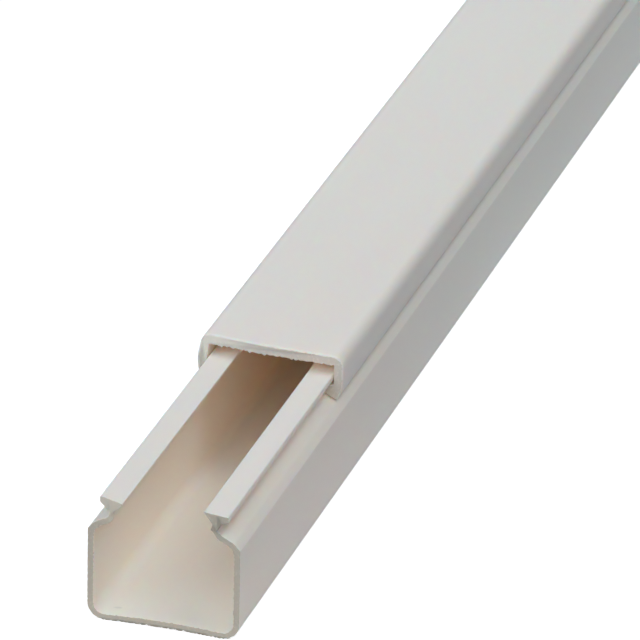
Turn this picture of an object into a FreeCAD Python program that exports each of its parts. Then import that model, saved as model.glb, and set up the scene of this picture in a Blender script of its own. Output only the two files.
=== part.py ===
import FreeCAD, Part
import os
from collections import namedtuple

import Sketcher

# A length of two-piece cable trunking: a channel that is fixed to the wall and a cover that hooks over its rails.
# Both are extrusions along Y. X runs across the channel and Z stands up from its back face, with the origin in the
# middle of the back face. Millimetres and degrees throughout.

SIZES = [
    # both pieces
    ("stock_length", 1000.0),  # length of each extrusion
    ("channel_width", 25.0),  # across the outer faces of the side walls
    ("fit_gap", 0.2),  # clearance between the cover and the channel, all round
    ("cover_setback", 54.0),  # how far the cover is slid back from the channel's front end
    # channel
    ("base_wall", 0.95),  # thickness of the floor, the side walls and the shoulders
    ("bottom_round", 2.8),  # outer radius of the lower corners
    ("wall_rise", 16.25),  # height at which the side wall would meet the shoulder's slope
    ("shoulder_slope", 28.0),  # rise of the shoulder towards the middle, in degrees
    ("brow_width", 1.0),  # how far in from the side wall's outer face the shoulder bends down to it
    ("brow_drop", 0.65),  # how far below wall_rise the bend meets the side wall
    ("brow_round", 1.5),  # outer radius where the shoulder bends down
    ("brow_edge_round", 0.5),  # outer radius where the bend meets the side wall
    ("brow_inner_round", 1.8),  # inner radius between side wall and shoulder, which keeps the wall even
    ("neck_reach", 3.5),  # from the side wall's outer face in to the neck's outer face
    ("neck_wall", 0.9),  # thickness of the neck that carries the rail
    ("neck_round", 1.0),  # radius at the root of the groove under the barb
    ("groove_height", 1.25),  # height of the groove at the neck, from the shoulder to the barb
    ("rail_rise", 5.15),  # top of the rail above wall_rise
    ("rail_width", 4.2),  # flat top of the rail, barb and lip included
    ("nose_depth", 1.0),  # depth of the barb at its outer edge
    ("nose_round", 0.25),  # radius on the edges of the barb
    ("lip_depth", 0.35),  # depth of the rail's inner edge
    ("lip_round", 0.8),  # radius where the rail's inner slant meets the neck
    # cover
    ("cover_wall", 1.6),  # thickness of the top and the legs
    ("cover_inset", 0.1),  # from the side wall's outer face in to the cover's side
    ("cover_room", 2.0),  # space between the rail's top and the cover's underside, at the middle
    ("crown_radius", 350.0),  # the top is a very flat arch of this radius
    ("cover_round", 1.9),  # outer radius of the upper corners
    ("tuck_in", 1.1),  # how far a leg's tip lies in from the cover's side
    ("tuck_slope", 35.0),  # slant of the leg's lower part away from upright, in degrees
    ("tuck_round", 3.0),  # radius where the leg starts to tuck in
    ("tip_round", 0.3),  # radius of the leg's tip
    ("hook_round", 0.15),  # radius of the hook's upper edge and of the corner between hook and leg
]

# Places that follow from the sizes, as expressions that the sketches are bound to.
HALF = "(Sizes.channel_width / 2)"
SLOPE = "tan(Sizes.shoulder_slope)"
NECK_OUT = f"({HALF} - Sizes.neck_reach)"
NECK_IN = f"({NECK_OUT} - Sizes.neck_wall)"
WALL_IN = f"({HALF} - Sizes.base_wall)"
BROW_IN = f"({HALF} - Sizes.brow_width)"
RAIL_TOP = "(Sizes.wall_rise + Sizes.rail_rise)"
COVER_OUT = f"({HALF} - Sizes.cover_inset)"
COVER_IN = f"({COVER_OUT} - Sizes.cover_wall)"
RAIL_OUT = f"({COVER_IN} - Sizes.fit_gap)"
RAIL_IN = f"({RAIL_OUT} - Sizes.rail_width)"
TOP = f"({RAIL_TOP} + Sizes.cover_room + Sizes.cover_wall)"
TIP_OUT = f"({COVER_OUT} - Sizes.tuck_in)"
HOOK_IN = f"({NECK_OUT} + Sizes.fit_gap)"
UNDERSIDE_RADIUS = "(Sizes.crown_radius - Sizes.cover_wall)"

# One corner of a section: its name, its place across and up, and the radius that rounds it. Only the right-hand
# corners are listed, because both sections are their own mirror images.
Corner = namedtuple("Corner", "name across up radius")


def shoulder(across):
    """Height of the shoulder's outer slope."""
    return f"(Sizes.wall_rise + ({HALF} - {across}) * {SLOPE})"


def shoulder_inside(across):
    """Height of the shoulder's inner slope, one wall below the outer one."""
    return f"({shoulder(across)} - Sizes.base_wall / cos(Sizes.shoulder_slope))"


def shoulder_clear(across):
    """Height that clears the shoulder's outer slope by the fit gap."""
    return f"({shoulder(across)} + Sizes.fit_gap / cos(Sizes.shoulder_slope))"


def barb(across):
    """Height of the barb's underside, which slants from the neck up to the nose."""
    return f"({BARB_ROOT} + ({across} - {NECK_OUT}) * {BARB_SLOPE})"


def arch(crest, radius, across):
    """Height of an arch with its crest on the middle plane."""
    return f"({crest} - {radius} + sqrt({radius} ^ 2 - {across} ^ 2))"


NOSE_UNDER = f"({RAIL_TOP} - Sizes.nose_depth)"
BARB_ROOT = f"({shoulder(NECK_OUT)} + Sizes.groove_height)"
BARB_SLOPE = f"(({NOSE_UNDER} - {BARB_ROOT}) / ({RAIL_OUT} - {NECK_OUT}))"
HOOK_TOP = f"({barb(HOOK_IN)} - Sizes.fit_gap * sqrt(1 + {BARB_SLOPE} ^ 2))"

CHANNEL_CORNERS = [
    Corner("bottom", HALF, None, "Sizes.bottom_round"),
    Corner("brow_edge", HALF, "(Sizes.wall_rise - Sizes.brow_drop)", "Sizes.brow_edge_round"),
    Corner("brow", BROW_IN, shoulder(BROW_IN), "Sizes.brow_round"),
    Corner("groove", NECK_OUT, shoulder(NECK_OUT), "Sizes.neck_round"),
    Corner("barb", NECK_OUT, BARB_ROOT, "Sizes.nose_round"),
    Corner("nose_under", RAIL_OUT, NOSE_UNDER, "Sizes.nose_round"),
    Corner("nose_top", RAIL_OUT, RAIL_TOP, "Sizes.nose_round"),
    Corner("lip_top", RAIL_IN, RAIL_TOP, None),
    Corner("lip_under", RAIL_IN, f"({RAIL_TOP} - Sizes.lip_depth)", None),
    Corner("neck_top", NECK_IN, BARB_ROOT, "Sizes.lip_round"),
    Corner("neck_foot", NECK_IN, shoulder_inside(NECK_IN), "Sizes.neck_round + Sizes.neck_wall"),
    Corner("eaves", WALL_IN, shoulder_inside(WALL_IN), "Sizes.brow_inner_round"),
    Corner("floor", WALL_IN, "Sizes.base_wall", "Sizes.bottom_round - Sizes.base_wall"),
]

COVER_CORNERS = [
    Corner("top", COVER_OUT, arch(TOP, "Sizes.crown_radius", COVER_OUT), "Sizes.cover_round"),
    Corner("tuck", COVER_OUT, f"({shoulder_clear(TIP_OUT)} + Sizes.tuck_in / tan(Sizes.tuck_slope))",
           "Sizes.tuck_round"),
    Corner("tip", TIP_OUT, shoulder_clear(TIP_OUT), "Sizes.tip_round"),
    Corner("hook_under", HOOK_IN, shoulder_clear(HOOK_IN), "Sizes.neck_round - Sizes.fit_gap"),
    Corner("hook_top", HOOK_IN, HOOK_TOP, "Sizes.hook_round"),
    Corner("hook_root", COVER_IN, HOOK_TOP, "Sizes.hook_round"),
    Corner("underside", COVER_IN, arch(f"({TOP} - Sizes.cover_wall)", UNDERSIDE_RADIUS, COVER_IN),
           "Sizes.cover_round - Sizes.cover_wall"),
]
COVER_ARCHES = {"top": "Sizes.crown_radius", "underside": UNDERSIDE_RADIUS}


def make_sheet(doc):
    """Puts every driving size in a cell of its own, under its alias."""
    sheet = doc.addObject("Spreadsheet::Sheet", "Sizes")
    for row, (alias, value) in enumerate(SIZES, start=1):
        cell = f"B{row}"
        sheet.set(f"A{row}", alias.replace("_", " "))
        sheet.set(cell, str(value))
        sheet.setAlias(cell, alias)
    doc.recompute()
    return sheet


def origin_plane(body, role):
    """The body's own origin plane with this role."""
    return next(feature for feature in body.Origin.OriginFeatures if feature.Role == role)


def arch_edge(right, left, radius):
    """A flat arc from the right corner over to the left one, which are at one height."""
    centre = FreeCAD.Vector(0, right.y - (radius ** 2 - right.x ** 2) ** 0.5, 0)
    crest = centre + FreeCAD.Vector(0, radius, 0)
    return Part.Arc(right, crest, left)


def draw_section(body, sheet, corners, arches):
    """Draws the closed section on the body's XZ plane and binds every corner and arch to the sheet."""
    sketch = body.newObject("Sketcher::SketchObject", "Section")
    sketch.AttachmentSupport = [(origin_plane(body, "XZ_Plane"), "")]
    sketch.MapMode = "FlatFace"

    def place(corner, side):
        across = float(sheet.evalExpression(corner.across))
        up = float(sheet.evalExpression(corner.up)) if corner.up else 0.0
        return FreeCAD.Vector(side * across, up, 0)

    def bind(constraint, name, expression):
        sketch.addConstraint(constraint)
        sketch.renameConstraint(sketch.ConstraintCount - 1, name)
        sketch.setExpression(f"Constraints.{name}", expression)

    # up the right side from the first corner to the last, over to the left side, and back to the start
    ring = [(corner, 1) for corner in corners] + [(corner, -1) for corner in reversed(corners)]
    ends = {}
    for (corner, side), (next_corner, next_side) in zip(ring, ring[1:] + ring[:1]):
        start, end = (corner.name, side), (next_corner.name, next_side)
        if corner is next_corner and corner.name in arches:
            right, left = place(corner, 1), place(corner, -1)
            radius = float(sheet.evalExpression(arches[corner.name]))
            edge = sketch.addGeometry(arch_edge(right, left, radius), False)
            start, end = (corner.name, 1), (corner.name, -1)
            bind(Sketcher.Constraint("Radius", edge, radius), f"{corner.name}_arch", arches[corner.name])
        else:
            line = Part.LineSegment(place(corner, side), place(next_corner, next_side))
            edge = sketch.addGeometry(line, False)
        ends.setdefault(start, []).append((edge, 1))
        ends.setdefault(end, []).append((edge, 2))

    x_axis, y_axis, origin = -1, -2, (-1, 1)
    for first, second in ends.values():
        sketch.addConstraint(Sketcher.Constraint("Coincident", *first, *second))
    for corner in corners:
        right = ends[corner.name, 1][0]
        left = ends[corner.name, -1][0]
        spot = place(corner, 1)
        bind(Sketcher.Constraint("DistanceX", *origin, *right, spot.x), f"{corner.name}_across", corner.across)
        if corner.up:
            bind(Sketcher.Constraint("DistanceY", *origin, *right, spot.y), f"{corner.name}_up", corner.up)
        else:
            sketch.addConstraint(Sketcher.Constraint("PointOnObject", *right, x_axis))
        sketch.addConstraint(Sketcher.Constraint("Symmetric", *left, *right, y_axis))
    return sketch, place


def lengthwise_edges(shape, spot):
    """Names of the straight edges along Y through this spot of the section, on either side of the middle."""
    close = 1e-4
    found = []
    for number, edge in enumerate(shape.Edges, start=1):
        first, last = edge.Vertexes[0].Point, edge.Vertexes[-1].Point
        along_y = abs(first.x - last.x) < close and abs(first.z - last.z) < close
        if along_y and abs(abs(first.x) - spot.x) < close and abs(first.z - spot.y) < close:
            found.append(f"Edge{number}")
    return found


def extrude(doc, sheet, label, corners, arches):
    """One extrusion: the section is padded to both sides of the middle, then its corners are rounded."""
    body = doc.addObject("PartDesign::Body", label)
    body.Label = label
    sketch, place = draw_section(body, sheet, corners, arches)
    doc.recompute()
    pad = body.newObject("PartDesign::Pad", "Extrusion")
    pad.Profile = sketch
    pad.Midplane = True
    pad.setExpression("Length", "Sizes.stock_length")
    doc.recompute()
    for corner in corners:
        if not corner.radius:
            continue
        unrounded = body.Tip
        edges = lengthwise_edges(unrounded.Shape, place(corner, 1))
        if len(edges) != 2:
            raise RuntimeError(f"{label}: {len(edges)} edges at {corner.name}, where there should be two")
        rounded = body.newObject("PartDesign::Fillet", f"Round_{corner.name}")
        rounded.Base = (unrounded, edges)
        rounded.setExpression("Radius", corner.radius)
        doc.recompute()
    return body


def check(doc, bodies):
    """Stops when a feature failed or a piece is not one sound solid."""
    for feature in doc.Objects:
        if {"Invalid", "Error"} & set(feature.State):
            raise RuntimeError(f"{feature.Label} did not recompute")
    for body in bodies:
        if not body.Shape.isValid() or len(body.Shape.Solids) != 1:
            raise RuntimeError(f"{body.Label} is not one valid solid")


def main():
    doc = FreeCAD.newDocument("trunking")
    sheet = make_sheet(doc)
    channel = extrude(doc, sheet, "base_channel", CHANNEL_CORNERS, {})
    cover = extrude(doc, sheet, "snap_cover", COVER_CORNERS, COVER_ARCHES)
    cover.setExpression("Placement.Base.y", "Sizes.cover_setback")
    doc.recompute()

    bodies = [channel, cover]
    check(doc, bodies)
    os.makedirs("parts", exist_ok=True)
    for body in bodies:
        body.Shape.exportStep(f"parts/{body.Label}.step")


main()
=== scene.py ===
"""Dresses a length of two-piece cable trunking for its picture.

A channel with barbed rails, and the cover that presses over them, slid back from the near end. Both are
drawn again from their section, finer than the solids and with sawn ends, and lie on a white floor under
broad soft lamps. All lengths are in metres.
"""

import math

import bpy
from mathutils import Matrix, Vector


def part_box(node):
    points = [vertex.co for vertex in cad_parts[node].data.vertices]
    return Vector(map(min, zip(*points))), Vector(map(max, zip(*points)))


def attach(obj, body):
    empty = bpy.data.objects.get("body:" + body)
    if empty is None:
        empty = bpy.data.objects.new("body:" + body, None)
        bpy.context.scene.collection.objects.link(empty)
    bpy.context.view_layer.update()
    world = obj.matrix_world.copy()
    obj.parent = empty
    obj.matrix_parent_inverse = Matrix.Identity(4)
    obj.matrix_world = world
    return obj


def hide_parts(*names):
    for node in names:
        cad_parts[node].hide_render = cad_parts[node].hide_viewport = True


bl_info = {
    "name": "Cable Trunking",
    "version": (1, 0, 0),
    "blender": (4, 5, 0),
    "location": "View3D > Sidebar > Trunking",
    "description": "Makes a length of two-piece cable trunking and the stage that it is shown on",
    "category": "Add Mesh",
}

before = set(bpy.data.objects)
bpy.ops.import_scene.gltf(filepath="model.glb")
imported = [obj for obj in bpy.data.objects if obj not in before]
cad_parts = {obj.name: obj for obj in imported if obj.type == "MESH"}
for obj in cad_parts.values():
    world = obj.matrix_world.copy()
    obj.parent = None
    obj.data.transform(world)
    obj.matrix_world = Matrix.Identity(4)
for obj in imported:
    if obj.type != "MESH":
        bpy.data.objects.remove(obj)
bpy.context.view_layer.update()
CHANNEL_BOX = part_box("base_channel")
COVER_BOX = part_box("snap_cover")

# How finely a section is drawn: the most that an arc turns from one point to the next, the longest edge,
# the steps across a flat arch and how far that stops short of the rounded corner.
ARC_TURN = math.radians(4.0)
LONGEST_EDGE = 0.00015
ARCH_STEP = 0.0005
ARCH_STOP = 0.0004

# Distance below which two places are taken as one, and the same for a point that lies on a face.
SAME_PLACE = 0.000002
ON_FACE = 0.00001

# Steps from ring to ring at each end, in parts of the torn edge's reach. Four cross the torn edge. The last
# goes as far again, and keeps the edge's shading out of the long faces.
RING_STEPS = (0.09, 0.20, 0.28, 0.43, 1.0)
# A place nearer to the end than this many reaches is on one of those rings.
RINGS_END = 2.5

# How much paler or darker than its colour a sawn end is where it is torn, where light is painted on it and
# where shade is painted along its lower edge.
TORN_TONE = 1.18
PAINTED_LIGHT_TONE = 1.45
PAINTED_SHADE_TONE = 0.42

# Where the nicks and the burrs start in their noise, counted on from the seed, so that they differ.
NICK_START = 0.37
BURR_START = 5.83

# A face that looks along the trunking by more than this belongs to a sawn end.
END_FACING = 0.97

# Colour of the lamps and of the light from all round, a little cool.
COOL_WHITE = (0.95, 1.01, 1.10)

# Where each lamp hangs, counted from the place that they all point at, and its size.
LAMPS = {
    "key": ((2.1, 0.0, 4.5), 2.6),
    "left": ((-2.1, 0.0, 4.5), 2.6),
    "right": ((3.4, 0.0, 3.6), 2.6),
    "back": ((0.0, 3.0, 4.0), 3.0),
    "front": ((0.3, -3.4, 3.2), 4.6),
    "side": ((-3.2, -3.2, 2.1), 2.6),
}
# That place is this far along the trunking from its near end. It and the place that the camera is set up
# from have this height.
LIT_DISTANCE = 0.2
AIM_HEIGHT = 0.012


# Sizes, colours and stage values that a user may change.


def length(name, description, default):
    """A size in metres."""
    return bpy.props.FloatProperty(
        name=name, description=description, default=default, min=0.0, precision=5, unit="LENGTH"
    )


def angle(name, description, degrees):
    """An angle, given in degrees."""
    return bpy.props.FloatProperty(
        name=name, description=description, default=math.radians(degrees), unit="ROTATION"
    )


def share(name, description, default, highest=1.0):
    """A plain number from nothing to its highest value."""
    return bpy.props.FloatProperty(
        name=name, description=description, default=default, min=0.0, max=highest
    )


def watts(name, description, default):
    """A lamp's power."""
    return bpy.props.FloatProperty(
        name=name, description=description, default=default, min=0.0, unit="POWER"
    )


def colour(name, description, default):
    """A colour, red, green and blue."""
    return bpy.props.FloatVectorProperty(
        name=name, description=description, default=default, size=3, min=0.0, max=1.0, subtype="COLOR"
    )


class ChannelSizes(bpy.types.PropertyGroup):
    """The channel's section, from the outside in."""

    width: length("Width", "Across the outer faces of the side walls", 0.025)
    wall: length("Wall", "Thickness of the floor, the side walls and the shoulders", 0.00095)
    bottom_round: length("Bottom round", "Outer radius of the lower corners", 0.0028)
    floor_bow: length("Floor bow", "How far the underside is bowed up in the middle", 0.00022)
    floor_swell: length("Floor swell", "How much thicker the floor is in the middle", 0.00012)
    wall_rise: length("Wall rise", "Height at which the side wall would meet the shoulder's slope", 0.01625)
    shoulder_slope: angle("Shoulder slope", "Rise of the shoulder towards the middle", 28.0)
    brow_width: length("Brow width", "How far in from the side the shoulder bends down to the wall", 0.0010)
    brow_drop: length("Brow drop", "How far below the wall rise the bend meets the wall", 0.00065)
    brow_round: length("Brow round", "Outer radius where the shoulder bends down", 0.0015)
    brow_edge_round: length("Brow edge round", "Outer radius where the bend meets the wall", 0.0005)
    brow_inner_round: length("Inner brow round", "Inner radius between side wall and shoulder", 0.0018)
    neck_reach: length("Neck reach", "From the side wall's outer face in to the neck's outer face", 0.0035)
    neck_wall: length("Neck wall", "Thickness of the neck that carries the rail", 0.0009)
    neck_round: length("Neck round", "Radius at the root of the groove under the barb", 0.0010)
    groove_height: length("Groove height", "Height of the groove at the neck, up to the barb", 0.00125)
    rail_rise: length("Rail rise", "Top of the rail above the wall rise", 0.00515)
    rail_width: length("Rail width", "Flat top of the rail, barb and lip included", 0.0042)
    nose_depth: length("Nose depth", "Depth of the barb at its outer edge", 0.0010)
    nose_round: length("Nose round", "Radius on the edges of the barb", 0.00025)
    lip_depth: length("Lip depth", "Depth of the rail's inner edge", 0.00035)
    lip_round: length("Lip round", "Radius where the rail's inner slant meets the neck", 0.0008)


class CoverSizes(bpy.types.PropertyGroup):
    """The cover's section."""

    fit_gap: length("Fit gap", "Clearance between the cover and the channel", 0.0002)
    wall: length("Wall", "Thickness of the top and the legs", 0.0016)
    inset: length("Inset", "From the channel's side in to the cover's side", 0.0001)
    room: length("Room", "Space between the rail's top and the cover's underside", 0.0020)
    crown_radius: length("Crown radius", "The top is a very flat arch of this radius", 0.350)
    corner_round: length("Corner round", "Outer radius of the upper corners", 0.0019)
    tuck_in: length("Tuck in", "How far a leg's tip lies in from the cover's side", 0.0011)
    tuck_slope: angle("Tuck slope", "Slant of the leg's lower part away from upright", 35.0)
    tuck_round: length("Tuck round", "Radius where the leg starts to tuck in", 0.0050)
    tip_round: length("Tip round", "Radius of the leg's tip", 0.0003)
    hook_lift: length("Hook lift", "How much higher the hook is at the leg than at its point", 0.00055)
    hook_round: length("Hook round", "Radius of the hook's upper edge", 0.00015)


class SawMarks(bpy.types.PropertyGroup):
    """What the saw left on the ends."""

    reach: length("Reach", "How far the torn edge runs in from the end", 0.00035)
    bite: length("Bite", "Deepest nick in an edge", 0.00024)
    burr: length("Burr", "Longest burr that stands off an edge", 0.00034)
    soft: length("Soft", "How far in the cover's outer edge is worn round at the saw cut", 0.00030)
    pitch: length("Pitch", "Usual distance from one nick to the next", 0.00050)
    burr_pitch: share("Burr pitch", "Distance between burrs, as a share of the pitch", 0.8)
    under_height: length("Under height", "Height up to which the channel counts as underside", 0.0008)
    nick_under: share("Nicks below", "Share of the deepest nick along that underside", 1.0)
    nick_beside: share("Nicks beside", "The same on the channel's other faces", 0.40)
    nick_hollow: share("Nicks inside", "The same under the cover's top and hooks", 0.7)
    nick_cover: share("Nicks on the cover", "The same on the cover's other faces", 0.30)
    burr_channel: share("Channel burrs", "Share of the longest burr inside the channel", 0.5)
    proud: length("Proud", "How far the left rail's inner corner stands out of the sawn end", 0.0014)
    left_skew: share("Left skew", "How much the left rail's end runs back to the left", 0.40)
    right_start: share("Right start", "How far in the right rail's end starts, in parts of Proud", 0.67)
    right_skew: share("Right skew", "How much the right rail's end runs back to the left", 0.17)
    undercut: share("Undercut", "How much the right rail's end runs back towards its underside", 0.5)
    cover_skew: share("Cover skew", "How much the top of the cover's end runs back to the left", 0.145)
    skew_from: length("Skew from", "How far left of the middle the cover's skew begins", 0.0015)
    skew_depth: length("Skew depth", "How far down the leg the cover's skew dies out", 0.0018)
    seed: bpy.props.IntProperty(name="Seed", description="Picks another set of nicks", default=7, min=0)


class PlasticFinish(bpy.types.PropertyGroup):
    """Colours and shine of the plastic."""

    body: colour("Body", "Warm white of the drawn skin", (0.935, 0.858, 0.766))
    grey: colour("Greyed", "The same where handling has dulled it", (0.905, 0.826, 0.736))
    scuff: colour("Scuff", "Grey of a scuff mark", (0.52, 0.49, 0.46))
    cut_face: colour("Cut face", "Sawn end of the channel", (0.62, 0.56, 0.455))
    cut_cover: colour("Cut cover", "Sawn end of the cover", (0.76, 0.69, 0.60))
    glow: colour("Glow", "How far each colour travels inside the wall", (1.0, 0.55, 0.35))
    glow_depth: length("Glow depth", "How deep light goes into the plastic", 0.0012)
    glow_weight: share("Glow weight", "Share of the light that enters the plastic", 1.0)
    cut_glow: share("Cut glow", "How much of that glow a sawn end keeps", 0.5)
    dulled: share("Dulled", "How greyed the dulled patches are", 0.4)
    specked: share("Specked", "How greyed the small specks are", 0.35)
    scuffed: share("Scuffed", "How much of its own colour a scuff has", 0.3)
    roughness: share("Roughness", "Roughness of the drawn skin between dulled patches", 0.45)
    dull_roughness: share("Dull roughness", "How much rougher dulled patches and die lines are", 0.06)
    cut_roughness: share("Cut roughness", "Least roughness of a sawn end", 0.72)
    stroke_roughness: share("Stroke roughness", "How much rougher the saw's strokes make it", 0.15)
    skin_shine: share("Skin shine", "Specular level of the drawn skin", 0.20)
    cut_shine: share("Cut shine", "Specular level of a sawn end", 0.25)


class StageSetup(bpy.types.PropertyGroup):
    """Camera, floor and light."""

    azimuth: angle("Azimuth", "Camera's turn round the trunking from its near end", 16.78)
    elevation: angle("Elevation", "Camera's height above the horizon", 24.88)
    roll: angle("Roll", "Turn of the camera about its own line of sight", 1.24)
    distance: length("Distance", "From the near end to the camera", 1.0718)
    shift_right: length("Right of middle", "How far the view is moved to the right", 0.02431)
    shift_up: length("Above middle", "How far the view is moved up", 0.03740)
    lens: bpy.props.FloatProperty(
        name="Lens", description="Focal length in millimetres on a 36 mm sensor", default=388.0, min=1.0
    )
    floor_radius: length("Floor radius", "Radius of the round floor", 9.0)
    floor_gap: length("Floor gap", "How far the floor lies below the trunking", 0.00005)
    paper_tone: share("Paper tone", "How much light the floor throws back beside the trunking", 0.62)
    table_tone: share("Table tone", "How much light it throws back further out", 0.12)
    paper_reach: length("Paper reach", "How far out the lighter strip goes on each side", 0.045)
    floor_shade: share("Floor shade", "How much the floor's white gives way to its lit colour", 0.3)
    ceiling_light: share("Ceiling light", "Level of the light from overhead", 0.15, 10.0)
    side_light: share("Side light", "Level of the light from the horizon", 0.12, 10.0)
    key: watts("Key", "Lamp overhead, a little to the right", 59.0)
    left: watts("Left", "Lamp overhead, a little to the left", 17.0)
    right: watts("Right", "Lamp on the right", 8.0)
    back: watts("Back", "Lamp overhead, a little to the back", 10.0)
    front: watts("Front", "Lamp overhead in front", 86.0)
    side: watts("Side", "Lamp in front on the left", 44.0)


# Node trees.


class Wire:
    """One output socket. Python's operators on it add Math nodes to its tree."""

    def __init__(self, board, socket):
        self.board = board
        self.socket = socket

    def _math(self, operation, first, second=0.0):
        return self.board.wire("ShaderNodeMath", {"operation": operation}, {0: first, 1: second})

    def __add__(self, other):
        return self._math("ADD", self, other)

    def __sub__(self, other):
        return self._math("SUBTRACT", self, other)

    def __mul__(self, other):
        return self._math("MULTIPLY", self, other)

    def __truediv__(self, other):
        return self._math("DIVIDE", self, other)

    def __rsub__(self, other):
        return self._math("SUBTRACT", other, self)

    def __rtruediv__(self, other):
        return self._math("DIVIDE", other, self)

    def __gt__(self, other):
        return self._math("GREATER_THAN", self, other)

    def __lt__(self, other):
        return self._math("LESS_THAN", self, other)

    def __abs__(self):
        return self._math("ABSOLUTE", self)

    __radd__ = __add__
    __rmul__ = __mul__


def socket_of(sockets, key):
    """A socket by its number, its identifier or its name."""
    if isinstance(key, int):
        return sockets[key]
    return next((socket for socket in sockets if socket.identifier == key), None) or sockets[key]


class Board:
    """A node tree under construction."""

    def __init__(self, tree):
        self.tree = tree

    def node(self, kind, settings=None, inputs=None):
        """Adds a node: its type, its settings, then the values or links of its sockets."""
        made = self.tree.nodes.new(kind)
        for name, value in (settings or {}).items():
            setattr(made, name, value)
        for name, value in (inputs or {}).items():
            socket = socket_of(made.inputs, name)
            if isinstance(value, Wire):
                self.tree.links.new(value.socket, socket)
            else:
                socket.default_value = value
        return made

    def wire(self, kind, settings=None, inputs=None, output=0):
        """Adds a node and returns one of its outputs."""
        return Wire(self, socket_of(self.node(kind, settings, inputs).outputs, output))

    def ramp(self, factor, low, high):
        """0 below low, 1 above high, and smooth between."""
        return self.wire(
            "ShaderNodeMapRange",
            {"interpolation_type": "SMOOTHSTEP"},
            {"Value": factor, "From Min": low, "From Max": high},
        )

    def blend(self, factor, first, second):
        """One colour turning into another."""
        return self.wire(
            "ShaderNodeMix",
            {"data_type": "RGBA"},
            {"Factor": factor, "A_Color": first, "B_Color": second},
            "Result_Color",
        )

    def part(self, place, axis):
        """One coordinate of a place."""
        return self.wire("ShaderNodeSeparateXYZ", None, {0: place}, axis)

    def spot(self, place, centre, reach):
        """1 in the middle of a soft oval spot and 0 outside it."""
        away = self.wire("ShaderNodeVectorMath", {"operation": "SUBTRACT"}, {0: place, 1: centre})
        steps = self.wire("ShaderNodeVectorMath", {"operation": "DIVIDE"}, {0: away, 1: reach})
        distance = self.wire("ShaderNodeVectorMath", {"operation": "LENGTH"}, {0: steps}, "Value")
        return self.ramp(distance, 1.0, 0.3)

    def noise(self, place, across, along, detail=2.0, up=None):
        """Noise with so many waves to the metre across, along and up the trunking."""
        waves = (across, along, across if up is None else up)
        stretched = self.wire("ShaderNodeVectorMath", {"operation": "MULTIPLY"}, {0: place, 1: waves})
        return self.wire("ShaderNodeTexNoise", None, {"Vector": stretched, "Scale": 1.0, "Detail": detail})


def full(rgb, tone=1.0):
    """A colour as a socket takes it, made paler by a tone above 1 or darker by one below."""
    return (*(min(1.0, channel * tone) for channel in rgb), 1.0)


def new_material(name):
    """An empty node material, its board and the place on the object."""
    material = bpy.data.materials.new(name)
    material.use_nodes = True
    material.node_tree.nodes.clear()
    board = Board(material.node_tree)
    place = board.wire("ShaderNodeTexCoord", None, None, "Object")
    return material, board, place


def close_material(board, shader):
    """Connects the finished shader."""
    board.node("ShaderNodeOutputMaterial", None, {"Surface": shader})


def drawn_skin(name, finish, scuffs=()):
    """The skin that comes out of the die: satin, faintly lined along its length, dulled in patches.

    scuffs are single grey marks, each a centre and how far it reaches each way.
    """
    material, board, place = new_material(name)
    patches = board.ramp(board.noise(place, 45.0, 9.0, 1.0), 0.35, 0.75)
    die_lines = board.noise(place, 3400.0, 5.0, 1.0)
    grain = board.noise(place, 5200.0, 5200.0, 2.0)
    specks = board.ramp(board.noise(place, 900.0, 700.0, 2.0), 0.745, 0.80)
    greyed = patches * finish.dulled + specks * finish.specked
    tone = board.blend(greyed, full(finish.body), full(finish.grey))
    for centre, reach in scuffs:
        tone = board.blend(board.spot(place, centre, reach) * finish.scuffed, tone, full(finish.scuff))
    normal = board.wire("ShaderNodeBump", None, {"Strength": 0.02, "Distance": 0.00002, "Height": grain})
    shader = board.wire(
        "ShaderNodeBsdfPrincipled",
        None,
        {
            "Base Color": tone,
            "Roughness": finish.roughness + (patches + die_lines) * finish.dull_roughness,
            "Normal": normal,
            "Subsurface Weight": finish.glow_weight,
            "Subsurface Radius": tuple(finish.glow),
            "Subsurface Scale": finish.glow_depth,
            "Specular IOR Level": finish.skin_shine,
        },
    )
    close_material(board, shader)
    return material


def sawn_face(name, rgb, finish, light_mask=None, worn=None):
    """A sawn end: matt, with the saw's fine lines across it and paler torn spots.

    The fourth argument is a mask of painted light, which makes the face paler where more light falls, and
    the fifth a mask of painted shade, which darkens the lower edge.
    """
    material, board, place = new_material(name)
    strokes = board.noise(place, 500.0, 500.0, 2.0, up=9000.0)
    torn = board.noise(place, 2300.0, 2300.0, 2.0)
    tone = board.blend(board.ramp(torn, 0.52, 0.72) * 0.6, full(rgb), full(rgb, TORN_TONE))
    # Painted light: the face is made paler where the mask says.
    if light_mask:
        tone = board.blend(light_mask(board, place), tone, full(rgb, PAINTED_LIGHT_TONE))
    # Painted shade: the lower edge is made darker where the mask says.
    if worn:
        tone = board.blend(worn(board, place), tone, full(rgb, PAINTED_SHADE_TONE))
    height = strokes * 0.6 + torn * 0.4
    normal = board.wire("ShaderNodeBump", None, {"Strength": 0.35, "Distance": 0.00005, "Height": height})
    shader = board.wire(
        "ShaderNodeBsdfPrincipled",
        None,
        {
            "Base Color": tone,
            "Roughness": finish.cut_roughness + strokes * finish.stroke_roughness,
            "Normal": normal,
            "Subsurface Weight": finish.glow_weight * finish.cut_glow,
            "Subsurface Radius": tuple(finish.glow),
            "Subsurface Scale": finish.glow_depth * finish.cut_glow,
            "Specular IOR Level": finish.cut_shine,
        },
    )
    close_material(board, shader)
    return material


# Sections.


def mirrored(right_side):
    """A closed section from its right-hand corners, which run from the middle out and back to it."""
    left_side = [(-across, up, radius) for across, up, radius in reversed(right_side)]
    return right_side + left_side


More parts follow.
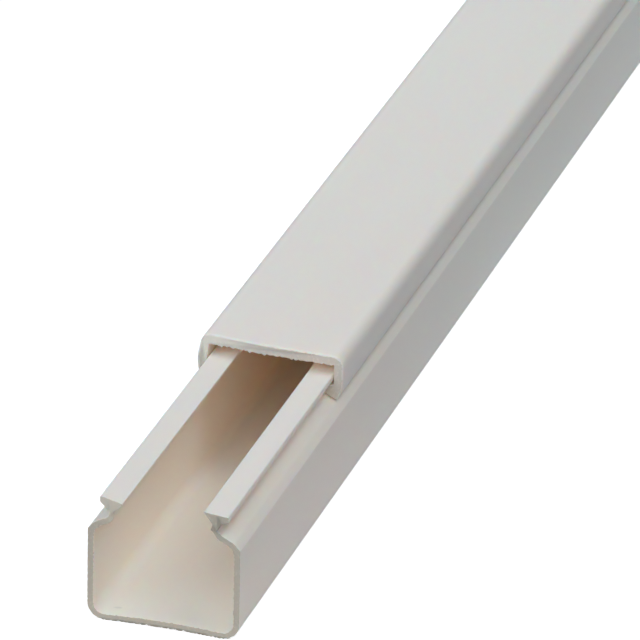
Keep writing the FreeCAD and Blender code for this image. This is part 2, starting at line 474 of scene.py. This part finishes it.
def rounded(corners):
    """Points round a closed outline whose corners (across, up, radius) are rounded by arcs."""
    points = []
    for index, (across, up, radius) in enumerate(corners):
        here = Vector((across, up))
        before = Vector(corners[index - 1][:2]) - here
        after = Vector(corners[(index + 1) % len(corners)][:2]) - here
        if radius == 0.0:
            points.append(here)
            continue
        before.normalize()
        after.normalize()
        between = before.angle(after)
        setback = radius / math.tan(between / 2)
        start = here + before * setback
        end = here + after * setback
        centre = here + (before + after).normalized() * (radius / math.sin(between / 2))
        turn = math.pi - between
        steps = max(2, math.ceil(turn / ARC_TURN))
        from_centre = start - centre
        way = 1.0 if from_centre.cross(end - centre) > 0 else -1.0
        for step in range(steps + 1):
            part = way * turn * step / steps
            points.append(centre + Matrix.Rotation(part, 2) @ from_centre)
    return points


def divided(points):
    """The same outline with its long edges cut into short ones."""
    finer = []
    for index, point in enumerate(points):
        following = points[(index + 1) % len(points)]
        count = max(1, math.ceil((following - point).length / LONGEST_EDGE))
        finer += [point.lerp(following, step / count) for step in range(count)]
    return finer


def arch(crest, radius, half_width):
    """Corners of the right half of a flat arch, from the middle out."""
    count = math.ceil(half_width / ARCH_STEP)
    places = [half_width * index / count for index in range(1, count + 1)]
    return [(across, arch_height(crest, radius, across), 0.0) for across in places]


def arch_height(crest, radius, across):
    """Height of an arch whose crest is on the middle plane."""
    return crest - radius + math.sqrt(radius**2 - across**2)


class Fit:
    """Places that the two sections share."""

    def __init__(self, channel, cover):
        self.half = channel.width / 2
        self.flat = self.half - channel.bottom_round - ARCH_STOP
        self.slope = math.tan(channel.shoulder_slope)
        self.level = math.cos(channel.shoulder_slope)
        self.wall_rise = channel.wall_rise
        self.wall_in = self.half - channel.wall
        self.brow_in = self.half - channel.brow_width
        self.neck_out = self.half - channel.neck_reach
        self.neck_in = self.neck_out - channel.neck_wall
        self.cover_out = self.half - cover.inset
        self.cover_in = self.cover_out - cover.wall
        self.rail_out = self.cover_in - cover.fit_gap
        self.rail_in = self.rail_out - channel.rail_width
        self.rail_top = channel.wall_rise + channel.rail_rise
        self.nose_under = self.rail_top - channel.nose_depth
        self.barb_root = self.shoulder(self.neck_out) + channel.groove_height
        self.crest = min(self.rail_top + cover.room + cover.wall, COVER_BOX[1].z)

    def shoulder(self, across, lift=0.0):
        """Height of the shoulder's slope, lifted square to it."""
        return self.wall_rise + (self.half - across) * self.slope + lift / self.level


def bow_radius(half_width, rise):
    """Radius of a flat arch that rises so much over its half width."""
    return (half_width**2 + rise**2) / (2.0 * rise)


def channel_section(fit, channel):
    """Corners of the channel: out along the underside, up to the barb, over the rail and down inside."""
    bow, swollen = channel.floor_bow, channel.floor_bow + channel.floor_swell
    return mirrored(
        arch(bow, bow_radius(fit.flat, bow), fit.flat)
        + [
            (fit.half, 0.0, channel.bottom_round),
            (fit.half, channel.wall_rise - channel.brow_drop, channel.brow_edge_round),
            (fit.brow_in, fit.shoulder(fit.brow_in), channel.brow_round),
            (fit.neck_out, fit.shoulder(fit.neck_out), channel.neck_round),
            (fit.neck_out, fit.barb_root, channel.nose_round),
            (fit.rail_out, fit.nose_under, channel.nose_round),
            (fit.rail_out, fit.rail_top, channel.nose_round),
            (fit.rail_in, fit.rail_top, 0.0),
            (fit.rail_in, fit.rail_top - channel.lip_depth, 0.0),
            (fit.neck_in, fit.barb_root, channel.lip_round),
            (fit.neck_in, fit.shoulder(fit.neck_in, -channel.wall), channel.neck_round + channel.neck_wall),
            (fit.wall_in, fit.shoulder(fit.wall_in, -channel.wall), channel.brow_inner_round),
            (fit.wall_in, channel.wall, channel.bottom_round - channel.wall),
        ]
        + arch(channel.wall + swollen, bow_radius(fit.flat, swollen), fit.flat)[::-1]
    )


def cover_section(fit, channel, cover):
    """Corners of the cover: out from the crest, down the outside of a leg, round the hook and up inside."""
    tip_out = fit.cover_out - cover.tuck_in
    tip_height = fit.shoulder(tip_out, cover.fit_gap)
    hook_in = fit.neck_out + cover.fit_gap
    barb_slope = (fit.nose_under - fit.barb_root) / (fit.rail_out - fit.neck_out)
    hook_top = fit.barb_root + cover.fit_gap * (barb_slope - math.hypot(1.0, barb_slope))
    ceiling = fit.crest - cover.wall
    inner_radius = cover.crown_radius - cover.wall
    half_width = fit.cover_out - cover.corner_round - ARCH_STOP
    return mirrored(
        arch(fit.crest, cover.crown_radius, half_width)
        + [
            (fit.cover_out, arch_height(fit.crest, cover.crown_radius, fit.cover_out), cover.corner_round),
            (fit.cover_out, tip_height + cover.tuck_in / math.tan(cover.tuck_slope), cover.tuck_round),
            (tip_out, tip_height, cover.tip_round),
            (hook_in, fit.shoulder(hook_in, cover.fit_gap), channel.neck_round - cover.fit_gap),
            (hook_in, hook_top, cover.hook_round),
            (fit.cover_in, hook_top + cover.hook_lift, cover.hook_round),
            (
                fit.cover_in,
                arch_height(ceiling, inner_radius, fit.cover_in),
                cover.corner_round - cover.wall,
            ),
        ]
        + arch(ceiling, inner_radius, half_width)[::-1]
    )


def outline(corners):
    """A section's points, anticlockwise seen from the near end, and the way out of the plastic at each."""
    points = divided(rounded(corners))
    pairs = list(zip(points, points[1:] + points[:1]))
    if sum(first.cross(second) for first, second in pairs) < 0:
        points.reverse()
    ways = []
    for index, point in enumerate(points):
        along = points[(index + 1) % len(points)] - points[index - 1]
        ways.append(Vector((along.y, -along.x)).normalized())
    return points, ways


# The sawn stock: a section drawn out along the trunking.


def sawn_stock():
    """A tree that draws a section out along Y, closes both ends and tears the edges that the saw left."""
    tree = bpy.data.node_groups.new("sawn_stock", "GeometryNodeTree")
    numbers = ("Start", "Length", "Reach", "Bite", "Burr", "Soft", "Pitch", "Burr Pitch")
    kinds = {"Section": "Geometry", **dict.fromkeys(numbers, "Float")}
    kinds |= {"Seed": "Int", "Skin": "Material", "Cut": "Material"}
    sockets = {}
    for name, kind in kinds.items():
        made = tree.interface.new_socket(name, in_out="INPUT", socket_type="NodeSocket" + kind)
        sockets[name] = made.identifier
    tree.interface.new_socket("Stock", in_out="OUTPUT", socket_type="NodeSocketGeometry")
    board = Board(tree)
    given = board.node("NodeGroupInput")
    value = {name: Wire(board, socket_of(given.outputs, key)) for name, key in sockets.items()}
    away = board.wire("FunctionNodeInputVector", {"vector": (0.0, 1.0, 0.0)})
    solid = value["Section"]
    chosen = None
    reach = value["Reach"]
    steps = [reach * step for step in RING_STEPS]
    between = value["Length"] - reach * (2.0 * sum(RING_STEPS))
    for stretch in steps + [between] + steps[::-1]:
        inputs = {"Mesh": solid, "Offset": away, "Offset Scale": stretch, "Individual": False}
        if chosen:
            inputs["Selection"] = chosen
        drawn = board.node("GeometryNodeExtrudeMesh", {"mode": "FACES"}, inputs)
        solid = Wire(board, drawn.outputs["Mesh"])
        chosen = Wire(board, drawn.outputs["Top"])
    near_end = board.wire("GeometryNodeFlipFaces", None, {"Mesh": value["Section"]})
    joined = board.node("GeometryNodeJoinGeometry")
    tree.links.new(solid.socket, joined.inputs[0])
    tree.links.new(near_end.socket, joined.inputs[0])
    both = Wire(board, joined.outputs[0])
    closed = board.wire("GeometryNodeMergeByDistance", None, {"Geometry": both, "Distance": SAME_PLACE})
    place = board.wire("GeometryNodeInputPosition")
    along = board.part(place, "Y")
    middle = value["Start"] + value["Length"] * 0.5
    from_end = (value["Length"] * 0.5 - abs(along - middle)) / reach
    at_end = board.wire("ShaderNodeMath", {"operation": "MAXIMUM"}, {0: 1.0 - from_end, 1: 0.0})
    nicks = torn_edge(board, place, value["Pitch"], value["Seed"] + NICK_START)
    burrs = torn_edge(board, place, value["Burr Pitch"], value["Seed"] + BURR_START)
    out = named(board, "out", "FLOAT_VECTOR")
    depth = named(board, "burr") * burrs * value["Burr"] - named(board, "nick") * nicks * value["Bite"]
    rounding = 1.0 - board.wire("ShaderNodeMath", {"operation": "SQRT"}, {0: 1.0 - at_end * at_end})
    inward = named(board, "soft") * rounding * value["Soft"]
    moved = board.wire(
        "ShaderNodeVectorMath", {"operation": "SCALE"}, {0: out, "Scale": depth * at_end - inward}
    )
    torn = board.wire("GeometryNodeSetPosition", None, {"Geometry": closed, "Offset": moved})
    at_near_end = along < value["Start"] + reach * RINGS_END
    pushed = board.wire("ShaderNodeCombineXYZ", None, {"Y": named(board, "back") * at_near_end})
    skewed = board.wire("GeometryNodeSetPosition", None, {"Geometry": torn, "Offset": pushed})
    facing = board.part(board.wire("GeometryNodeInputNormal"), "Y")
    whole = board.wire("GeometryNodeRealizeInstances", None, {"Geometry": skewed})
    skinned = board.wire("GeometryNodeSetMaterial", None, {"Geometry": whole, "Material": value["Skin"]})
    finished = board.wire(
        "GeometryNodeSetMaterial",
        None,
        {"Geometry": skinned, "Selection": abs(facing) > END_FACING, "Material": value["Cut"]},
    )
    board.node("NodeGroupOutput", None, {0: finished})
    return tree, sockets


def named(board, name, data_type="FLOAT"):
    """A value kept on the section's points."""
    return board.wire("GeometryNodeInputNamedAttribute", {"data_type": data_type}, {"Name": name})


def torn_edge(board, place, pitch, seed):
    """How far the edge is torn at a place, from none to all, in teeth of uneven width."""
    noise = board.wire(
        "ShaderNodeTexNoise",
        {"noise_dimensions": "4D"},
        {"Vector": place, "W": seed, "Scale": 1.0 / pitch, "Detail": 3.0, "Roughness": 0.65},
    )
    return board.ramp(noise, 0.45, 0.68)


def faces_down(way):
    """Whether a way out of the plastic points clearly down."""
    return way.y < -0.5


def smooth_but_edges(mesh, sharpest=math.radians(32.0)):
    """Shades the mesh smooth and keeps its real edges."""
    mesh.polygons.foreach_set("use_smooth", [True] * len(mesh.polygons))
    mesh.set_sharp_from_angle(angle=sharpest)


def draw_out(name, corners, box, marks, skin, cut, **worths):
    """Draws a section out over the length of a solid's box, and returns it as a plain mesh object.

    The worths nick, burr, soft and back tell how much of each a point of the section gets, from its place
    and its way out of the plastic.
    """
    points, ways = outline(corners)
    start = box[0].y
    mesh = bpy.data.meshes.new(name)
    mesh.from_pydata([(p.x, start, p.y) for p in points], [], [tuple(reversed(range(len(points))))])
    out = mesh.attributes.new("out", "FLOAT_VECTOR", "POINT")
    out.data.foreach_set("vector", [part for way in ways for part in (way.x, 0.0, way.y)])
    for attribute, worth in worths.items():
        kept = mesh.attributes.new(attribute, "FLOAT", "POINT")
        kept.data.foreach_set("value", [worth(point, way) for point, way in zip(points, ways)])
    stock = bpy.data.objects.new(name, mesh)
    bpy.context.scene.collection.objects.link(stock)
    tree, sockets = sawn_stock()
    modifier = stock.modifiers.new("sawn_stock", "NODES")
    modifier.node_group = tree
    for socket, value in (
        ("Start", start),
        ("Length", box[1].y - start),
        ("Reach", marks.reach),
        ("Bite", marks.bite),
        ("Burr", marks.burr),
        ("Soft", marks.soft),
        ("Pitch", marks.pitch),
        ("Burr Pitch", marks.pitch * marks.burr_pitch),
        ("Seed", marks.seed),
        ("Skin", skin),
        ("Cut", cut),
    ):
        modifier[sockets[socket]] = value
    shown = stock.evaluated_get(bpy.context.evaluated_depsgraph_get())
    finished = bpy.data.meshes.new_from_object(shown)
    stock.modifiers.remove(modifier)
    stock.data = finished
    bpy.data.meshes.remove(mesh)
    finished.name = name
    for attribute in ("out", *worths):
        finished.attributes.remove(finished.attributes[attribute])
    smooth_but_edges(finished)
    return stock


# Operators.


class TRUNKING_OT_channel(bpy.types.Operator):
    """Draws the channel with its barbed rails"""

    bl_idname = "trunking.channel"
    bl_label = "Make the channel"

    def execute(self, context):
        scene = context.scene
        channel, cover, finish = scene.trunking_channel, scene.trunking_cover, scene.trunking_finish
        marks = scene.trunking_saw
        fit = Fit(channel, cover)
        stock = draw_out(
            "channel",
            channel_section(fit, channel),
            CHANNEL_BOX,
            marks,
            drawn_skin("channel_skin", finish, [self.floor_scuff(channel)]),
            # The sawn end gets painted light on the left rail and the floor, and painted shade along its
            # lower edge.
            sawn_face("channel_cut", finish.cut_face, finish, self.painted_light_mask, self.painted_edge_shade),
            nick=lambda point, way: self.nicks(marks, point, way),
            burr=lambda point, way: self.burrs(fit, channel, marks, point),
            soft=lambda point, way: 0.0,
            back=lambda point, way: self.sawn_back(fit, marks, point),
        )
        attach(stock, "channel")
        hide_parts("base_channel")
        return {"FINISHED"}

    @staticmethod
    def floor_scuff(channel):
        """A scuff on the channel's floor, just in from the near end on the left, and how far it reaches."""
        return (-0.0083, CHANNEL_BOX[0].y + 0.0042, channel.wall), (0.0010, 0.0005, 0.0004)

    @staticmethod
    def painted_light_mask(board, place):
        """Painted light: the left rail's sawn end is made much paler, and the bottom of the sawn floor a
        little paler, where more light falls.
        """
        across, up = board.part(place, "X"), board.part(place, "Z")
        floor = board.ramp(up, 0.0040, 0.0010)
        left_rail = board.ramp(across, -0.004, -0.008) * board.ramp(up, 0.0165, 0.0185)
        return floor * 0.12 + left_rail * 0.6

    @staticmethod
    def painted_edge_shade(board, place):
        """Painted shade: the lower edge of the sawn floor is darkened in places, all along its bow, where
        it sits on the floor.
        """
        across, up = board.part(place, "X"), board.part(place, "Z")
        without_bow = up + across * across * 2.5
        in_places = board.ramp(board.noise(place, 700.0, 700.0, 3.0), 0.25, 0.65)
        return board.ramp(without_bow, 0.00075, 0.00025) * in_places

    @staticmethod
    def sawn_back(fit, marks, point):
        """How far in from the solid's near end the saw cut is at a point of the section.

        The right neck's cut comes forward as it rises, and the right rail's end is undercut behind it.
        """
        neck_foot = fit.shoulder(fit.neck_out)
        if point.y < neck_foot or (point.x < 0.0 and point.y < fit.barb_root):
            return marks.proud
        if point.y < fit.barb_root:
            return marks.proud * (fit.barb_root - point.y) / (fit.barb_root - neck_foot)
        if point.x < 0.0:
            return (-fit.rail_in - point.x) * marks.left_skew
        skew = (fit.rail_out - point.x) * marks.right_skew
        undercut = (fit.rail_top - point.y) * marks.undercut
        return marks.proud * marks.right_start + skew + undercut

    @staticmethod
    def nicks(marks, point, way):
        """How deep the saw's nicks are at a point of the section: most along the underside."""
        underside = point.y < marks.under_height and faces_down(way)
        return marks.nick_under if underside else marks.nick_beside

    @staticmethod
    def burrs(fit, channel, marks, point):
        """How long burrs are at a point of the section: they stand only inside, below the shoulders."""
        between_walls = abs(point.x) < fit.wall_in + ON_FACE
        inside = between_walls and channel.wall - ON_FACE < point.y < channel.wall_rise
        return marks.burr_channel if inside else 0.0


class TRUNKING_OT_cover(bpy.types.Operator):
    """Draws the cover with its hooked legs"""

    bl_idname = "trunking.cover"
    bl_label = "Make the cover"

    def execute(self, context):
        scene = context.scene
        channel, cover, finish = scene.trunking_channel, scene.trunking_cover, scene.trunking_finish
        marks = scene.trunking_saw
        fit = Fit(channel, cover)
        stock = draw_out(
            "cover",
            cover_section(fit, channel, cover),
            COVER_BOX,
            marks,
            drawn_skin("cover_skin", finish),
            # The sawn end gets painted light towards the left.
            sawn_face("cover_cut", finish.cut_cover, finish, self.painted_light_mask),
            nick=lambda point, way: self.nicks(fit, cover, marks, point, way),
            burr=lambda point, way: self.burrs(fit, cover, point, way),
            soft=lambda point, way: self.outside(fit, cover, point),
            back=lambda point, way: self.sawn_back(fit, cover, marks, point),
        )
        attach(stock, "cover")
        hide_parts("snap_cover")
        return {"FINISHED"}

    @staticmethod
    def painted_light_mask(board, place):
        """Painted light: the cover's sawn end is made paler towards the left, where more light falls."""
        return board.ramp(board.part(place, "X"), 0.009, -0.009) * 0.55

    @staticmethod
    def sawn_back(fit, cover, marks, point):
        """How far in from the solid's near end the saw cut is: most at the upper left corner."""
        below_ceiling = fit.crest - cover.wall - point.y
        upper = min(1.0, max(0.0, 1.0 - below_ceiling / marks.skew_depth))
        return marks.proud + max(0.0, -point.x - marks.skew_from) * upper * marks.cover_skew

    @staticmethod
    def nicks(fit, cover, marks, point, way):
        """How deep the saw's nicks are at a point of the section: most under the top and the hooks."""
        hollow = faces_down(way) and abs(point.x) < fit.cover_out - cover.tuck_in
        return marks.nick_hollow if hollow else marks.nick_cover

    @staticmethod
    def burrs(fit, cover, point, way):
        """How long burrs are at a point of the section: they stand only on the flat of the ceiling."""
        flat = way.y < -0.9
        near_ceiling = point.y > fit.crest - cover.wall - 0.0005
        return 1.0 if flat and near_ceiling else 0.0

    @staticmethod
    def outside(fit, cover, point):
        """How much a point of the section is on the cover's outside, from none at the leg's tip to all."""
        on_top = point.y > fit.crest - cover.wall * 0.5
        tip = fit.cover_out - cover.tuck_in
        leg_face = fit.cover_out - cover.wall * 0.4
        within_leg = abs(point.x) < leg_face and point.y > fit.crest - 0.005
        if on_top or within_leg:
            return 1.0 if on_top else 0.0
        return min(1.0, max(0.0, (abs(point.x) - tip - 0.0002) / (leg_face - tip)))


class TRUNKING_OT_stage(bpy.types.Operator):
    """Lays the floor and sets up the camera and the lights"""

    bl_idname = "trunking.stage"
    bl_label = "Set the stage"

    def execute(self, context):
        scene = context.scene
        stage = scene.trunking_stage
        lay_floor(stage)
        light_from_all_round(scene, stage)
        for name, (way, size) in LAMPS.items():
            hang_lamp(scene, name, way, size, getattr(stage, name))
        place_camera(scene, stage, scene.trunking_saw.proud)
        scene.view_settings.view_transform = "Standard"
        let_light_wander(scene)
        return {"FINISHED"}


def seen_directly(board):
    """1 for rays that the camera sees, straight or by a reflection or through glass."""
    path = board.node("ShaderNodeLightPath")
    kinds = ("Is Camera Ray", "Is Glossy Ray", "Is Transmission Ray")
    camera, glossy, glass = (Wire(board, path.outputs[kind]) for kind in kinds)
    return board.wire("ShaderNodeClamp", None, {"Value": camera + glossy + glass, "Min": 0.0, "Max": 1.0})


def lay_floor(stage):
    """A round white floor just under the trunking."""
    sides = 128
    height = CHANNEL_BOX[0].z - stage.floor_gap
    turns = [math.tau * side / sides for side in range(sides)]
    radius = stage.floor_radius
    ring = [(radius * math.cos(turn), radius * math.sin(turn), height) for turn in turns]
    mesh = bpy.data.meshes.new("floor")
    mesh.from_pydata(ring, [], [tuple(range(sides))])
    floor = bpy.data.objects.new("floor", mesh)
    bpy.context.scene.collection.objects.link(floor)
    material, board, place = new_material("floor_white")
    grain = board.noise(place, 40.0, 40.0, 2.0)
    across = abs(board.part(place, "X"))
    outside = board.ramp(across, stage.paper_reach * 0.8, stage.paper_reach * 1.3)
    tone = stage.paper_tone + outside * (stage.table_tone - stage.paper_tone)
    paper = board.wire(
        "ShaderNodeBsdfPrincipled",
        None,
        {
            "Base Color": board.wire("ShaderNodeCombineColor", None, {0: tone, 1: tone, 2: tone}),
            "Roughness": 0.85 + grain * 0.1,
            "Specular IOR Level": 0.0,
        },
    )
    glow = seen_directly(board) * (1.0 - tone * stage.floor_shade)
    white = board.wire("ShaderNodeEmission", None, {"Strength": glow})
    close_material(board, board.wire("ShaderNodeAddShader", None, {0: paper, 1: white}))
    mesh.materials.append(material)
    return floor


def light_from_all_round(scene, stage):
    """A faint even light from all round, stronger overhead. The camera sees all of it as white."""
    world = bpy.data.worlds.new("studio")
    scene.world = world
    world.use_nodes = True
    world.node_tree.nodes.clear()
    board = Board(world.node_tree)
    way = board.wire("ShaderNodeTexCoord", None, None, "Generated")
    height = board.part(way, "Z")
    level = stage.side_light + board.ramp(height, 0.10, 0.80) * (stage.ceiling_light - stage.side_light)
    seen = seen_directly(board)
    strength = seen + (1.0 - seen) * level
    sky = board.wire("ShaderNodeBackground", None, {"Color": (*COOL_WHITE, 1.0), "Strength": strength})
    board.node("ShaderNodeOutputWorld", None, {"Surface": sky})


def let_light_wander(scene):
    """White plastic passes light on many times, which warms and fills the hollow under the cover."""
    scene.cycles.diffuse_bounces = 20
    scene.cycles.max_bounces = 28


def inside_near_end(inward):
    """A place in the middle of the channel, so far in from the near end of its solid."""
    return Vector((0.0, CHANNEL_BOX[0].y + inward, AIM_HEIGHT))


def hang_lamp(scene, name, way, size, power):
    """A broad soft lamp, a little cool, that shines on the near part of the trunking."""
    lamp = bpy.data.lights.new(name, "AREA")
    lamp.energy = power
    lamp.color = COOL_WHITE
    lamp.size = size
    holder = bpy.data.objects.new(name, lamp)
    target = inside_near_end(LIT_DISTANCE)
    holder.location = target + Vector(way)
    holder.rotation_euler = Vector(way).to_track_quat("Z", "Y").to_euler()
    scene.collection.objects.link(holder)


def place_camera(scene, stage, inward):
    """A long lens on the saw cut, which lies inward from the near end of the channel's solid."""
    turn, height, roll = stage.azimuth, stage.elevation, stage.roll
    back = Vector((math.sin(turn) * math.cos(height), -math.cos(turn) * math.cos(height), math.sin(height)))
    level = Vector((math.cos(turn), math.sin(turn), 0.0))
    upright = back.cross(level)
    right = level * math.cos(roll) + upright * math.sin(roll)
    up = upright * math.cos(roll) - level * math.sin(roll)
    camera = bpy.data.cameras.new("camera")
    camera.lens = stage.lens
    camera.sensor_width = 36.0
    holder = bpy.data.objects.new("camera", camera)
    sideways = right * stage.shift_right + up * stage.shift_up
    place = inside_near_end(inward) + back * stage.distance + sideways
    holder.matrix_world = Matrix.Translation(place) @ Matrix((right, up, back)).transposed().to_4x4()
    scene.collection.objects.link(holder)
    scene.camera = holder


class TRUNKING_PT_sidebar(bpy.types.Panel):
    """Lists the steps that make the trunking"""

    bl_idname = "TRUNKING_PT_sidebar"
    bl_label = "Cable Trunking"
    bl_space_type = "VIEW_3D"
    bl_region_type = "UI"
    bl_category = "Trunking"

    def draw(self, context):
        for step in STEPS:
            self.layout.operator(step.bl_idname)
        for group in GROUPS:
            values = getattr(context.scene, group)
            box = self.layout.box()
            for name in values.bl_rna.properties.keys():
                if name not in ("rna_type", "name"):
                    box.prop(values, name)


GROUPS = {
    "trunking_channel": ChannelSizes,
    "trunking_cover": CoverSizes,
    "trunking_saw": SawMarks,
    "trunking_finish": PlasticFinish,
    "trunking_stage": StageSetup,
}
STEPS = (TRUNKING_OT_channel, TRUNKING_OT_cover, TRUNKING_OT_stage)


def register():
    """Registers the classes and hangs their values on the scene."""
    for kind in (*GROUPS.values(), *STEPS, TRUNKING_PT_sidebar):
        bpy.utils.register_class(kind)
    for name, kind in GROUPS.items():
        setattr(bpy.types.Scene, name, bpy.props.PointerProperty(type=kind))


def unregister():
    """Takes all of it away again."""
    for name in GROUPS:
        delattr(bpy.types.Scene, name)
    for kind in (TRUNKING_PT_sidebar, *reversed(STEPS), *reversed(GROUPS.values())):
        bpy.utils.unregister_class(kind)


def main():
    """Makes everything in order."""
    register()
    bpy.ops.trunking.channel()
    bpy.ops.trunking.cover()
    bpy.ops.trunking.stage()


if __name__ == "__main__":
    main()
